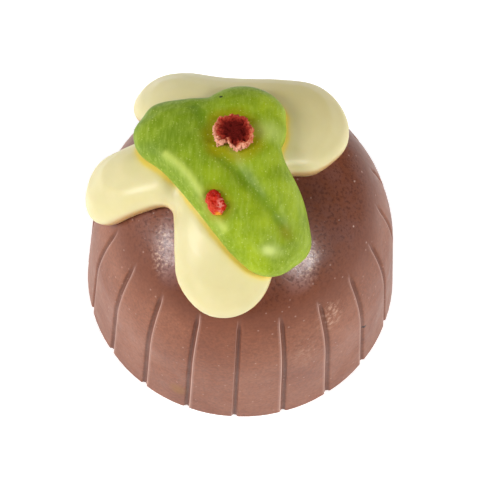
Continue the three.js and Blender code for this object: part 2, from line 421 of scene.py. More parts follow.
crease_columns = {0: 1.0, 1: 0.6, 13: 0.6}
lip_of_left_flutes = {4: 0.25, 3: 1.0, 2: 0.7}
lip_of_right_flutes = {10: 0.25, 11: 1.0, 12: 0.7}
paint_fade_length = 1.2
shaded, lip_highlight_shares = np.zeros((2, len(body.data.vertices)))
for index, (place, (_, column)) in enumerate(zip(plain, columns)):
    faded = min(1.0, max(0.0, below_top[index] / paint_fade_length))
    lip = lip_of_right_flutes if place.x > 0 else lip_of_left_flutes
    shaded[index] = crease_columns.get(column, 0.0) * faded
    lip_highlight_shares[index] = lip.get(column, 0.0) * faded
paint(body, "painted_crease_shade", shaded)
paint(body, "painted_lip_highlight", lip_highlight_shares)
print("points in creases:", int((shaded > 0).sum()), "on lips:", int((lip_highlight_shares > 0).sum()))

# %% [markdown]
# ## Poured chocolate
# The white and the green chocolate ran, rounded themselves off and set. The measured model has their
# outlines, their edges and their domes, so a copy of each node is the clay to work on. The copy's
# loose triangles are merged, a voxel remesh gives it even quads all over, and a few rounds of
# smoothing give it the skin of a liquid.

# %% Clay from a measured node
def remesh(piece, voxel):
    """Gives a piece even quads of voxel mm all over."""
    bpy.ops.object.modifier_add(type="REMESH")
    piece.modifiers[-1].mode = "VOXEL"
    piece.modifiers[-1].voxel_size = voxel * MM
    bpy.ops.object.modifier_apply(modifier=piece.modifiers[-1].name)


def clay_from(node_name, piece_name, voxel, rounds):
    """A finer, smoother copy of a measured node."""
    node = frame["nodes"][node_name]
    piece = bpy.data.objects.new(piece_name, node.data.copy())
    piece.data.name = piece_name
    piece.data.materials.clear()
    bpy.context.scene.collection.objects.link(piece)
    select_points(piece, lambda index, place: True)
    bpy.ops.mesh.remove_doubles(threshold=0.002 * MM)
    bpy.ops.object.mode_set(mode="OBJECT")
    remesh(piece, voxel)
    bpy.ops.object.modifier_add(type="SMOOTH")
    piece.modifiers[-1].factor = 0.5
    piece.modifiers[-1].iterations = rounds
    bpy.ops.object.modifier_apply(modifier=piece.modifiers[-1].name)
    bpy.ops.object.shade_smooth()
    return piece


white = clay_from("white_chocolate", "white_lobes", voxel=0.2, rounds=10)
print("white clay:", len(white.data.polygons), "faces")

# %% [markdown]
# ## Thumb and fingers
# Two helpers stand for what hands do to clay, and numpy moves all the points at once. `press` is a
# thumb: it pushes the skin in along a path, deepest on the path and fading to nothing beside it. With
# a negative depth it raises a ridge. `pull` is two fingers: it drags the clay round one place to the
# side, and the pull fades out with distance.

# %% Press and pull
def points_of(piece):
    """The points of a piece in mm, as rows."""
    flat_list = np.empty(len(piece.data.vertices) * 3)
    piece.data.vertices.foreach_get("co", flat_list)
    return flat_list.reshape(-1, 3) / MM


def normals_of(piece):
    """The normals at a piece's points, as rows."""
    flat_list = np.empty(len(piece.data.vertices) * 3)
    piece.data.vertex_normals.foreach_get("vector", flat_list)
    return flat_list.reshape(-1, 3)


def set_points(piece, rows):
    """Moves a piece's points to rows in mm."""
    piece.data.vertices.foreach_set("co", (rows * MM).ravel())
    piece.data.update()


def near_path(rows, path, half_width):
    """1 for a row on a path seen from above, fading to 0 over about twice half_width mm."""
    nearest = np.full(len(rows), np.inf)
    for start, end in zip(path[:-1], path[1:]):
        start, run = np.array(start), np.array(end) - np.array(start)
        along = np.clip(((rows[:, :2] - start) @ run) / (run @ run), 0, 1)
        away = np.linalg.norm(rows[:, :2] - start - along[:, None] * run, axis=1)
        nearest = np.minimum(nearest, away)
    return np.exp(-((nearest / half_width) ** 2))


def press(piece, path, half_width, depth):
    """Pushes a piece's upper skin in by depth mm along a path, or out with a negative depth."""
    rows, normals = points_of(piece), normals_of(piece)
    wall, roof = 0.1, 0.5
    facing_up = np.clip((normals[:, 2] - wall) / (roof - wall), 0, 1)
    set_points(piece, rows - normals * (near_path(rows, path, half_width) * facing_up * depth)[:, None])


def pull(piece, centre, reach, move):
    """Drags what lies within reach mm of a centre, seen from above, by a move in mm."""
    rows = points_of(piece)
    away = np.linalg.norm(rows[:, :2] - np.array(centre), axis=1)
    rows[:, :2] += np.exp(-((away / reach) ** 2))[:, None] * np.array(move)
    set_points(piece, rows)


print("press and pull ready for", len(points_of(white)), "points")

# %% [markdown]
# ## White chocolate
# Four fat lobes, nearly three millimetres thick, ran out from the crown. Where the left lobe leaves
# the front one, the chocolate sank a little and left a soft valley, with a low ridge beside it. Small
# pulls then bring the ends of the lobes to where they are in the photograph. Last, the foot is let
# down until it sinks a little into the body, because poured chocolate sets on what carries it.

# %% White lobes
def tree_of(piece):
    """A search tree of a piece's faces, in metres."""
    mesh = bmesh.new()
    mesh.from_mesh(piece.data)
    found = BVHTree.FromBMesh(mesh)
    mesh.free()
    return found


def let_down(piece, carrier_tree, reach, sink):
    """Moves the foot's points, those closer than reach mm to the carrier, until they sink into it."""
    firmness = 1.6
    rows = points_of(piece)
    for index, vertex in enumerate(piece.data.vertices):
        place, normal, _, _ = carrier_tree.find_nearest(vertex.co)
        gap = (vertex.co - place).dot(normal) / MM
        if abs(gap) < reach:
            share = min(1.0, firmness * (1 - abs(gap) / reach))
            rows[index] -= np.array(normal) * (gap + sink) * share
    set_points(piece, rows)


valley = ((-6.2, -1.6), (-6.5, -4.4))
ridge_of_left_lobe = ((-10.8, -2.3), (-8.4, -2.3), (-6.7, -2.0))
press(white, valley, half_width=0.9, depth=0.28)
press(white, ridge_of_left_lobe, half_width=0.9, depth=-0.1)

# The centre of a pull, its reach, and its move to the right and to the back, all in mm
white_pulls = (
    ((6.4, 9.4), 3.8, (0.04, 0.56)),
    ((1.5, 10.5), 3.0, (0.0, 0.16)),
    ((-9.0, 9.5), 3.0, (-0.12, 0.22)),
    ((5.2, 1.8), 1.8, (0.1, -0.45)),
    ((-5.0, -11.4), 2.4, (0.2, 0.1)),
    ((-12.9, -4.2), 1.8, (0.03, 0.2)),
    ((-11.6, 2.5), 1.6, (0.05, -0.2)),
    ((8.4, 1.6), 2.2, (-0.16, 0.16)),
)
for centre, reach, move in white_pulls:
    pull(white, centre, reach, move)

body_tree = tree_of(body)
let_down(white, body_tree, reach=0.3, sink=0.03)
white_tree = tree_of(white)
print("white lobes:", len(white.data.polygons), "faces")

# %% [markdown]
# ## Green chocolate
# The leaf was piped in two strokes that join at its tip. Between them runs a trough, and each stroke
# keeps a round ridge along its outer side. The right stroke was piped second, so its edge lies as a
# low step on the first. Near the tip the trough ends in a dimple. The paths are the lines that one
# would draw on the leaf with a fingertip, so they stay lists of a few points.

# %% Green piping
trough = ((-4.95, 5.12), (-4.55, 4.32), (-4.14, 3.43), (-3.69, 1.85), (-3.16, 0.53), (-2.23, -0.44),
          (-1.03, -1.36), (0.37, -2.68), (1.49, -3.95), (2.43, -4.92), (3.3, -5.9))
second_stroke = ((-4.3, 4.3), (-3.75, 3.1), (-3.3, 1.75), (-2.4, 0.3), (-1.5, -0.6))
left_ridge = ((-7.2, 0.0), (-5.87, -1.2), (-4.9, -2.3), (-4.2, -3.3),
              (-3.5, -4.3), (-2.5, -5.7), (-1.6, -6.9))
left_crease = ((-8.2, -0.2), (-6.9, -1.35), (-5.9, -2.4), (-5.0, -3.5),
               (-4.1, -4.7), (-3.1, -6.1), (-2.2, -7.3))
right_ridge = ((0.9, -0.2), (2.1, -1.7), (3.3, -3.3), (4.3, -4.8), (5.0, -6.2), (5.0, -7.4))
dimple = ((3.7, -6.5), (3.76, -6.66))

# A path, how far to each side the press reaches, and how deep it goes, in mm
green_presses = (
    (trough, 1.2, 0.15),
    (trough, 0.5, 0.1),
    (second_stroke, 0.5, -0.06),
    (left_ridge, 0.5, -0.2),
    (left_crease, 0.35, 0.1),
    (right_ridge, 1.3, -0.04),
    (dimple, 0.7, 0.12),
)
green_pulls = (
    ((5.9, -7.4), 2.8, (0.24, -0.04)),
    ((3.3, -0.2), 1.6, (-0.36, 0.0)),
    ((-1.2, -8.9), 1.4, (-0.14, -0.08)),
    ((-7.0, 5.6), 1.8, (0.0, -0.26)),
)
lost_by_smoothing = 0.06

green = clay_from("green_chocolate", "green_piping", voxel=0.16, rounds=8)
for path, half_width, depth in green_presses:
    press(green, path, half_width, depth)
set_points(green, points_of(green) + lost_by_smoothing * normals_of(green))
for centre, reach, move in green_pulls:
    pull(green, centre, reach, move)
let_down(green, white_tree, reach=0.25, sink=0.02)
green_tree = tree_of(green)
print("green piping:", len(green.data.polygons), "faces")

# %% [markdown]
# ## Dried fruit: a block for each crumb
# The crumbs are freeze-dried fruit, light and brittle. The large one is a flake with a broken rim
# round a dark hollow, and the small one is a lump. Each starts as a ring of points with the crumb's
# own outline. The ring is closed below, extruded up to the rim, in and down into the middle, and
# closed there too. The outline is a list of radii at even turns, as torn fruit follows no formula.

# %% Blocks with the crumbs' outlines
ring_points = 72


def crumb_block(name, radii, steps):
    """A closed block. steps are (share of the outline, height in mm), from its foot to its middle."""
    bpy.ops.object.select_all(action="DESELECT")
    bpy.ops.mesh.primitive_circle_add(vertices=ring_points, radius=MM, fill_type="NOTHING")
    crumb = bpy.context.object
    crumb.name = crumb.data.name = name
    for vertex in crumb.data.vertices:
        turn = 2 * math.pi * vertex.index / ring_points
        along = vertex.index / ring_points * len(radii)
        low, share = int(along), along - int(along)
        reach = radii[low] * (1 - share) + radii[(low + 1) % len(radii)] * share
        vertex.co = Vector((math.cos(turn), math.sin(turn), 0)) * reach * MM
    bpy.ops.object.mode_set(mode="EDIT")
    bpy.ops.mesh.select_all(action="SELECT")
    bpy.ops.transform.resize(value=(steps[0][0],) * 3, center_override=(0, 0, 0))
    bpy.ops.transform.translate(value=(0, 0, steps[0][1] * MM))
    close_ring()
    select_points(crumb, lambda index, place: index < ring_points)
    for before, after in zip(steps[:-1], steps[1:]):
        next_ring(after[1] - before[1], after[0] / before[0])
    close_ring()
    bpy.ops.mesh.select_all(action="SELECT")
    bpy.ops.mesh.normals_make_consistent(inside=False)
    bpy.ops.object.mode_set(mode="OBJECT")
    return crumb


large_radii = (1.74, 1.58, 1.5, 1.6, 1.5, 1.45, 1.56, 1.5, 1.5, 1.86, 1.76, 1.72,
               1.74, 1.76, 1.56, 1.9, 0.85, 1.15, 1.6, 2.05, 1.75, 2.1, 1.96, 1.84)
large_steps = ((0.8, -0.35), (1.0, 0.05), (1.0, 0.4), (0.97, 0.66),
               (0.93, 0.68), (0.85, 0.46), (0.7, 0.3), (0.3, 0.26))
small_radii = (0.94, 0.82, 0.75, 0.72, 0.7, 0.92, 1.12, 1.24, 1.15, 1.05, 0.97, 0.88,
               0.8, 0.74, 0.72, 0.77, 0.84, 0.95, 1.1, 1.1, 1.08, 1.0, 1.02, 1.05)
small_steps = ((0.8, -0.35), (1.0, 0.1), (1.0, 0.3), (0.86, 0.6), (0.6, 0.68), (0.25, 0.6))
fruit_large = crumb_block("dried_fruit_large", large_radii, large_steps)
fruit_small = crumb_block("dried_fruit_small", small_radii, small_steps)
print("blocks:", fruit_large.name, fruit_small.name)

# %% [markdown]
# ## Dried fruit: torn and set in place
# A fine remesh gives a block enough points to be torn, and three sizes of noise push them in and out:
# large lumps, torn flakes and the cells of the fruit. The finish needs to know how far out and how
# low each point lies, which is easy to say before the crumb is set square on the green skin under it.

# %% Tear the crumbs and seat them
def tear(crumb, radii, voxel, sizes):
    """Roughens a block. sizes are (width of the lumps, how far they rise), in mm."""
    select_points(crumb, lambda index, place: True)
    bpy.ops.object.mode_set(mode="OBJECT")
    remesh(crumb, voxel)
    rows, normals = points_of(crumb), normals_of(crumb)
    rises = np.zeros(len(rows))
    for width, rise in sizes:
        rises += rise * np.array([noise.noise(Vector(row) / width) for row in rows])
    rows += normals * rises[:, None]
    set_points(crumb, rows)
    turns = np.degrees(np.arctan2(rows[:, 1], rows[:, 0])) % 360
    outline = np.interp(turns, np.linspace(0, 360, len(radii) + 1), [*radii, radii[0]])
    paint(crumb, "outwards", np.hypot(rows[:, 0], rows[:, 1]) / outline)
    # lower_left: how far a point lies towards the lower left, which the finishes paint lighter, as light
    # falling on that side
    upper_right, whole_width = np.array((0.55, 0.85)), 2.2 * max(radii)
    paint(crumb, "lower_left", 0.5 - rows[:, :2] @ upper_right / whole_width)


def seat(crumb, right, back):
    """Sets a crumb square on the green skin under a place in mm."""
    above = Vector((right, back, 40)) * MM
    found, normal, _, _ = green_tree.ray_cast(above, Vector((0, 0, -1)))
    lean = Vector((0, 0, 1)).rotation_difference(normal)
    crumb.data.transform(Matrix.Translation(found) @ lean.to_matrix().to_4x4())


tear(fruit_large, large_radii, voxel=0.06, sizes=((0.8, 0.2), (0.3, 0.24), (0.13, 0.13)))
seat(fruit_large, right=-1.36, back=1.96)
bpy.ops.object.shade_smooth()
tear(fruit_small, small_radii, voxel=0.05, sizes=((0.8, 0.15), (0.3, 0.1), (0.14, 0.08)))
seat(fruit_small, right=-2.5, back=-4.83)
bpy.ops.object.shade_smooth()
print("fruit crumbs:", len(fruit_large.data.polygons), len(fruit_small.data.polygons), "faces")

# %% [markdown]
# ## What touches what
# Where poured chocolate meets something, its look changes: the fruit stains the green, and the finish
# paints light from a neighbour onto it, a yellow glow from the green on the white and a brown
# reflection of the body on the thin edge of the white. The materials need to know how near each point
# is to the next piece, so that is measured here and stored on the points. The trough, the dimple and
# the left ridge of the green are stored too.

# %% Measure the neighbours
def gaps_to(piece, other_tree):
    """Distance in mm from each point of a piece to another piece."""
    return np.array([other_tree.find_nearest(v.co)[3] for v in piece.data.vertices]) / MM


small_crumb_lag = 0.5
fruit_gaps = np.minimum(gaps_to(green, tree_of(fruit_large)),
                        gaps_to(green, tree_of(fruit_small)) + small_crumb_lag)
for piece, name, gaps, reach in (
    (white, "near_body", gaps_to(white, body_tree), 2.2),
    (white, "near_green", gaps_to(white, green_tree), 1.6),
    (green, "near_white", gaps_to(green, white_tree), 0.7),
    (green, "near_fruit", fruit_gaps, 2.2),
):
    paint(piece, name, 1 - gaps / reach)
for name, path, half_width in (
    # Painted shade in the trough and a painted highlight on the left ridge follow these paths
    ("painted_trough_shade", trough, 0.6),
    ("in_dimple", dimple, 0.6),
    ("painted_ridge_highlight", left_ridge, 0.36),
):
    paint(green, name, near_path(points_of(green), path, half_width))
print("stored on the white:", [a.name for a in white.data.attributes if a.name.startswith("near")])

# %% [markdown]
# ## How a finish is built
# A finish starts from one ground colour. Thin coats of other colours are laid over it, each where a
# mask is bright, so `lay_colours` takes a list of coats. `spot` makes the mask of one soft patch,
# such as a glint, and `dots` of scattered specks. A pattern repeats about once in 1 / Scale metres,
# so each Scale is worked out from the real width of what it draws.

# %% Coats and spots
def lay_colours(tree, ground, coats):
    """Lays coats of colour over a ground. A coat is (where it lies, how strong it is there, colour)."""
    for where, strength, colour in coats:
        share = add_node(tree, "Math", times_mode, s0=where, s1=strength)
        ground = add_node(tree, "Mix", {"data_type": "RGBA"}, out=2, Factor=share, s6=ground,
                          s7=linear(colour))
    return ground


def spot(tree, place, centre, size, soft):
    """A mask: 1 inside a spot of the given half sizes in mm, 0 outside. soft is the share of its
    size over which it fades, to either side of its edge."""
    shifted = add_node(tree, "Mapping", Vector=place, Location=[-c * MM for c in centre])
    scaled = add_node(tree, "VectorMath", {"operation": "DIVIDE"}, s0=shifted, s1=[s * MM for s in size])
    reach = add_node(tree, "VectorMath", {"operation": "LENGTH"}, out="Value", s0=scaled)
    return add_node(tree, "MapRange", smooth_mode, Value=reach,
                    From_Min=1.0 - soft, From_Max=1.0 + soft, To_Min=1.0, To_Max=0.0)


def dots(tree, place, spacing, full, empty):
    """Masks for dots in cells spacing mm wide. The first is 1 at a cell's middle and fades between
    two shares of the spacing. The second is one random number for each cell."""
    cells = add_node(tree, "TexVoronoi", Vector=place, Scale=1 / (spacing * MM)).node.outputs
    disc = add_node(tree, "MapRange", Value=cells["Distance"], From_Min=full, From_Max=empty,
                    To_Min=1.0, To_Max=0.0)
    return disc, add_node(tree, "SeparateColor", Color=cells["Color"])


print("ready:", lay_colours.__name__, spot.__name__, dots.__name__)

# %% [markdown]
# ## Milk chocolate: its brown
# Milk chocolate that set against a polished mould has a satin skin, and its brown is warm where light
# goes in. The brown drifts a little from place to place in clouds of some millimetres. A fine
# crinkle, a quarter of a millimetre wide, grains it. The same crinkle later breaks up the glints.

# %% Milk chocolate: ground colour
cloud_width, patch_width, crinkle_width = 5.88, 2.38, 0.278

milk_chocolate, tree, output = new_material("milk_chocolate_moulded_satin")
place = add_node(tree, "TexCoord", out="Object")
height = add_node(tree, "SeparateXYZ", out="Z", Vector=place)
clouds = add_node(tree, "TexNoise", Vector=place, Scale=1 / (cloud_width * MM), Detail=4.0, Roughness=0.55)
patches = add_node(tree, "TexNoise", Vector=place, Scale=1 / (patch_width * MM), Detail=5.0, Roughness=0.65)
crinkle = add_node(tree, "TexNoise", Vector=place, Scale=1 / (crinkle_width * MM), Detail=3.0, Roughness=0.6)
brown_stops = ((0.25, "#7c452e"), (0.5, "#8a5239"), (0.8, "#996148"))
brown = add_node(tree, "ValToRGB", stops=brown_stops, Fac=clouds)
grained = add_node(tree, "MapRange", Value=crinkle, From_Min=0.3, From_Max=0.7, To_Min=0.8, To_Max=1.18)
brown = add_node(tree, "Mix", {"data_type": "RGBA", "blend_type": "MULTIPLY"}, out=2, Factor=1.0,
                 s6=brown, s7=grained)
print("nodes so far:", len(tree.nodes))

# %% [markdown]
# ## Milk chocolate: crown and shoulder
# The crown was handled. It is finely crinkled, and a thin bloom of cocoa fat greys it in patches, a
# lilac grey that is partly a painted reflection of the room. The shoulder is painted darker, as the
# shade of the poured chocolate, and a patch of painted shade lies between the right lobe and the
# green. Two glints lie on the shoulder, one on either side of the front lobe. In each, a painted lilac
# sheen lies next to the poured chocolate and painted warm sparks lie at its outer side.

# %% Milk chocolate: masks of the crown
on_crown = add_node(tree, "MapRange", smooth_mode, Value=height, From_Min=17.4 * MM, From_Max=20.2 * MM)
# Painted shade: the shoulder is darkened from 14 to 18 mm up
painted_shoulder_shade = add_node(tree, "MapRange", smooth_mode, Value=height, From_Min=14.0 * MM, From_Max=18.0 * MM)
# Bloom of cocoa fat, whose lilac grey is partly a painted reflection of the room
bloom_and_sheen = add_node(tree, "MapRange", Value=patches, From_Min=0.42, From_Max=0.7, To_Max=0.45)
# A patch of painted shade between the right lobe and the green
painted_shade_by_lobe = spot(tree, place, (5.3, -0.4, 22.0), (2.4, 2.8, 2.6), 0.8)

# The lilac sheen of the two glints is painted, and the same patches thicken the clear coat
left_glint = spot(tree, place, (-6.4, -6.8, 20.1), (1.1, 2.8, 1.6), 0.8)
right_glint = spot(tree, place, (5.3, -7.2, 20.3), (1.2, 2.0, 1.6), 0.8)
glint = add_node(tree, "Math", {"operation": "MAXIMUM"}, s0=left_glint, s1=right_glint)
# Painted warm sparks at the outer side of each glint
left_sparks = spot(tree, place, (-7.1, -6.7, 19.9), (0.7, 1.9, 1.5), 0.8)
right_sparks = spot(tree, place, (5.9, -7.0, 20.2), (0.8, 1.5, 1.4), 0.8)
sparkling = add_node(tree, "Math", {"operation": "MAXIMUM"}, s0=left_sparks, s1=right_sparks)
painted_sparks = add_node(tree, "MapRange", Value=crinkle, From_Min=0.53, From_Max=0.66, To_Max=0.6)
# Dark dots where the crinkle is low, painted as shade in its pores
painted_pore_shade = add_node(tree, "MapRange", Value=crinkle, From_Min=0.47, From_Max=0.38, To_Max=0.65)
print("nodes so far:", len(tree.nodes))

# %% [markdown]
# ## Milk chocolate: marks on the sides
# The sides are smoother, with marks that tell of the mould and of hands: scuffs on the right, made of
# fine short scratches, a small ochre smear at the front, one small pit painted dark as its shade, and
# specks of pale dust, more of them on the right shoulder.

# %% Milk chocolate: masks of the marks
scratch_width, dust_spacing = 0.417, 0.667

small_scuff = spot(tree, place, (8.3, -9.9, 14.7), (1.1, 1.3, 1.4), 0.7)
wide_scuff = spot(tree, place, (6.6, -12.6, 11.6), (1.7, 1.5, 2.6), 0.7)
scuffs = add_node(tree, "Math", {"operation": "MULTIPLY_ADD"}, s0=wide_scuff, s1=0.3, s2=small_scuff)
combed = add_node(tree, "Mapping", Vector=place, Rotation=(0.3, 0.5, 0.8), Scale=(1.0, 0.3, 1.0))
scratches = add_node(tree, "TexNoise", Vector=combed, Scale=1 / (scratch_width * MM),
                     Detail=4.0, Roughness=0.7)
scratches = add_node(tree, "MapRange", Value=scratches, From_Min=0.48, From_Max=0.66, To_Max=0.75)
smear = spot(tree, place, (-5.26, -13.75, 3.4), (0.75, 0.8, 0.9), 0.6)
# A small pit, painted as a dark spot of shade
painted_pit_shade = spot(tree, place, (11.93, -8.06, 7.74), (0.28, 0.28, 0.22), 0.35)
# Painted shade in the creases and painted highlight on their lips, as stored on the points
painted_crease_shade = add_node(tree, "Attribute", {"attribute_name": "painted_crease_shade"}, out="Fac")
lip_highlight = add_node(tree, "Attribute", {"attribute_name": "painted_lip_highlight"}, out="Fac")

# Dust lies in about one cell in four
dust_disc, dust_lot = dots(tree, place, dust_spacing, full=0.08, empty=0.18)
dust_here = add_node(tree, "Math", {"operation": "GREATER_THAN"}, s0=dust_lot, s1=0.74)
dust = add_node(tree, "Math", times_mode, s0=dust_disc, s1=dust_here)
dusty = spot(tree, place, (10.0, -1.5, 19.4), (2.2, 3.2, 2.2), 0.7)
dusty = add_node(tree, "MapRange", Value=dusty, To_Min=0.3, To_Max=0.85)
print("nodes so far:", len(tree.nodes))

# %% [markdown]
# ## Milk chocolate: the finish
# All the colours are laid over the brown, from the widest to the finest. Cocoa butter bends light
# like most fats do, by about 1.46. The sides are half matt. On the crown a clear coat stands for the
# glossier skin. It is full in the glints and thin elsewhere, and patchy where the bloom dulls it. Soft
# ripples from the mould and the crinkle tilt the skin, so that a glint has an uneven edge.

# %% Milk chocolate: coats and surface
brown = lay_colours(tree, brown, (
    # Bloom, partly a painted reflection
    (bloom_and_sheen, on_crown, "#8b7074"),
    # Painted shade on the shoulder and between the right lobe and the green
    (painted_shoulder_shade, 0.62, "#6a3520"),
    (painted_shade_by_lobe, 0.35, "#3c1a0e"),
    (scuffs, scratches, "#d0a58c"),
    # Painted highlight on one lip of each crease, then painted shade inside the creases
    (lip_highlight, 0.75, "#d6b0a2"),
    (painted_crease_shade, 0.55, "#54291c"),
    (smear, patches, "#8f5f1e"),
    # Painted shade in a small pit
    (painted_pit_shade, 1.0, "#2e140d"),
    (dust, dusty, "#d3b3a4"),
    # Painted sheen and painted sparks of the two glints
    (glint, 0.6, "#b08c8a"),
    (painted_sparks, sparkling, "#f0d0b4"),
    # Painted shade in the crinkle's pores
    (painted_pore_shade, on_crown, "#50281c"),
))

ripple_width = 1.43
ripples = add_node(tree, "TexNoise", Vector=place, Scale=1 / (ripple_width * MM), Detail=3.0, Roughness=0.5)
crown_crinkle = add_node(tree, "Math", times_mode, s0=crinkle, s1=on_crown)
bump = add_node(tree, "Bump", Strength=0.5, Distance=0.08 * MM, Height=ripples)
bump = add_node(tree, "Bump", Strength=0.35, Distance=0.06 * MM, Height=crown_crinkle, Normal=bump)
satin = add_node(tree, "MapRange", Value=patches, From_Min=0.3, From_Max=0.7, To_Min=0.34, To_Max=0.48)
gloss = add_node(tree, "MapRange", Value=patches, From_Min=0.35, From_Max=0.6)
polished = add_node(tree, "MapRange", Value=glint, To_Min=0.12)
gloss = add_node(tree, "Math", times_mode, s0=gloss, s1=on_crown)
gloss = add_node(tree, "Math", times_mode, s0=gloss, s1=polished)
surface = add_node(tree, "BsdfPrincipled", Base_Color=brown, Roughness=satin, IOR=1.46,
                   Specular_IOR_Level=0.25, Normal=bump, Coat_Weight=gloss, Coat_Roughness=0.2,
                   Coat_IOR=1.5, Coat_Normal=bump)
tree.links.new(surface, output.inputs[0])
body.data.materials.append(milk_chocolate)
print("milk chocolate nodes:", len(tree.nodes))

# %% [markdown]
# ## White chocolate, poured
# White chocolate is cocoa butter, milk and sugar, so light goes in a millimetre or two and comes out
# warm. That gives soft shadows and glowing edges, and subsurface light does it here. The poured skin
# is glossy and nearly smooth. Beside the green a yellow glow is painted, for light that comes through
# the green, a caramel-brown reflection of the body is painted on its thin lower edge, and the lobe at
# the far right is painted a little darker and more yellow, as shade.

# %% White chocolate finish
cloud_width, skin_width = 3.85, 2.0

white_chocolate, tree, output = new_material("white_chocolate_poured_gloss")
place = add_node(tree, "TexCoord", out="Object")
clouds = add_node(tree, "TexNoise", Vector=place, Scale=1 / (cloud_width * MM), Detail=4.0, Roughness=0.5)
cream = add_node(tree, "ValToRGB", stops=((0.3, "#dacf98"), (0.7, "#e4d9a6")), Fac=clouds)
# Painted shade: the lobe at the far right is made darker and more yellow
painted_far_lobe_shade = spot(tree, place, (5.5, 9.0, 21.0), (6.5, 4.0, 8.0), 0.8)
near_green = add_node(tree, "Attribute", {"attribute_name": "near_green"}, out="Fac")
# A painted yellow glow beside the green, for light that comes through it
green_glow_stops = ((0.38, "#000000"), (0.6, "#606060"), (0.8, "#d8d8d8"))
painted_green_glow = add_node(tree, "ValToRGB", stops=green_glow_stops, Fac=near_green)
near_body = add_node(tree, "Attribute", {"attribute_name": "near_body"}, out="Fac")
# A painted caramel-brown reflection of the body on the white's thin lower edge
painted_body_reflection = add_node(tree, "MapRange", smooth_mode, Value=near_body, From_Min=0.3, From_Max=0.62)
cream = lay_colours(tree, cream, (
    # Painted shade on the far right lobe
    (painted_far_lobe_shade, 0.4, "#cdba6c"),
    # Painted glow from the green
    (painted_green_glow, 1.0, "#f0cc14"),
    # Painted reflection of the body
    (painted_body_reflection, 0.7, "#cc9150"),
))

skin = add_node(tree, "TexNoise", Vector=place, Scale=1 / (skin_width * MM), Detail=3.0)
bump = add_node(tree, "Bump", Strength=0.25, Distance=0.05 * MM, Height=skin)
surface = add_node(tree, "BsdfPrincipled", Base_Color=cream, Roughness=0.34, IOR=1.46,
                   Specular_IOR_Level=0.4, Normal=bump, Subsurface_Weight=0.35,
                   Subsurface_Radius=(1.0, 0.7, 0.3), Subsurface_Scale=1.0 * MM)
tree.links.new(surface, output.inputs[0])
white.data.materials.append(white_chocolate)
print("white chocolate nodes:", len(tree.nodes))

# %% [markdown]
# ## Green chocolate: its colours
# This is white chocolate with green colour powder stirred in. The powder is not quite even, so the
# green drifts from olive to lime and has faint streaks along the way it was piped. It is also painted
# darker towards the left. A painted highlight lies on the left ridge and on the thin edge over the
# white, and painted shade lies in the trough. The fruit has stained the green a yellow olive where it
# was pressed in.

# %% Green chocolate: ground colour and stains
cloud_width, streak_width = 3.33, 0.3125

green_chocolate, tree, output = new_material("green_chocolate_piped_gloss")
place = add_node(tree, "TexCoord", out="Object")
across = add_node(tree, "SeparateXYZ", out="X", Vector=place)
clouds = add_node(tree, "TexNoise", Vector=place, Scale=1 / (cloud_width * MM), Detail=5.0, Roughness=0.6)
leaf_stops = ((0.34, "#7a920e"), (0.5, "#8ea512"), (0.64, "#a3b71e"))
leaf = add_node(tree, "ValToRGB", stops=leaf_stops, Fac=clouds)
leftwards = add_node(tree, "MapRange", Value=across, From_Min=-8.0 * MM, From_Max=1.0 * MM,
                     To_Min=1.0, To_Max=0.0)
combed = add_node(tree, "Mapping", Vector=place, Rotation=(0.0, 0.0, 0.9), Scale=(1.0, 0.18, 1.0))
streaks = add_node(tree, "TexNoise", Vector=combed, Scale=1 / (streak_width * MM), Detail=3.0, Roughness=0.6)
streaks = add_node(tree, "MapRange", Value=streaks, From_Min=0.42, From_Max=0.68)
painted_ridge_highlight, near_white, painted_trough_shade, near_fruit, in_dimple = (
    add_node(tree, "Attribute", {"attribute_name": name}, out="Fac")
    for name in ("painted_ridge_highlight", "near_white", "painted_trough_shade", "near_fruit", "in_dimple")
)
# Painted light on the green's thin edge over the white
painted_edge_light = add_node(tree, "MapRange", Value=near_white, From_Min=0.35, From_Max=0.8)
halo = add_node(tree, "MapRange", smooth_mode, Value=near_fruit, From_Min=0.3, From_Max=0.85)
leaf = lay_colours(tree, leaf, (
    # Darker towards the left
    (leftwards, 0.45, "#567a12"),
    (streaks, 0.3, "#b9cc5a"),
    # Painted highlights on the left ridge and on the thin edge
    (painted_ridge_highlight, 0.64, "#d6e270"),
    (painted_edge_light, 0.72, "#d2da7c"),
    # Painted shade in the trough
    (painted_trough_shade, 0.6, "#587a10"),
    (halo, 0.95, "#939300"),
    (in_dimple, 0.75, "#8a8a00"),
))
print("nodes so far:", len(tree.nodes))

# %% [markdown]
# ## Green chocolate: grains and the finish
# Fine pale grains of milk powder show all over, in two sizes: most cells of a Voronoi pattern stay
# empty, and the others hold a dot. The smaller ones are drawn a little coarser than they are, so
# that they show. Three pale spots are painted highlights where the skin catches light, and one dark
# speck sits near the top. The skin is less glossy than the white's, because the powder dulls it.

# %% Green chocolate: grains, spots and surface
skin_width = 1.11
grain_sizes = ((0.154, 0.6), (0.278, 0.65))
# Painted highlights, where the skin catches light
painted_highlight_spots = (
    ((2.46, -8.39, 25.11), (0.9, 0.5, 0.8), 0.4),
    ((2.3, -8.45, 25.15), (0.45, 0.3, 0.6), 0.75),
    ((1.75, 2.45, 26.5), (1.1, 0.9, 1.2), 0.4),
)

coats = []
for grain_spacing, strength in grain_sizes:
    dot, lot = dots(tree, place, grain_spacing, full=0.1, empty=0.3)
    chosen = add_node(tree, "MapRange", Value=lot, From_Min=0.5, From_Max=1.0, To_Max=strength)
    coats.append((dot, chosen, "#d2dc78"))
for centre, size, strength in painted_highlight_spots:
    coats.append((spot(tree, place, centre, size, 0.9), strength, "#dae68a"))
speck = spot(tree, place, (-2.68, 5.99, 25.86), (0.16, 0.12, 0.5), 0.3)
coats.append((speck, 1.0, "#26330c"))
leaf = lay_colours(tree, leaf, coats)

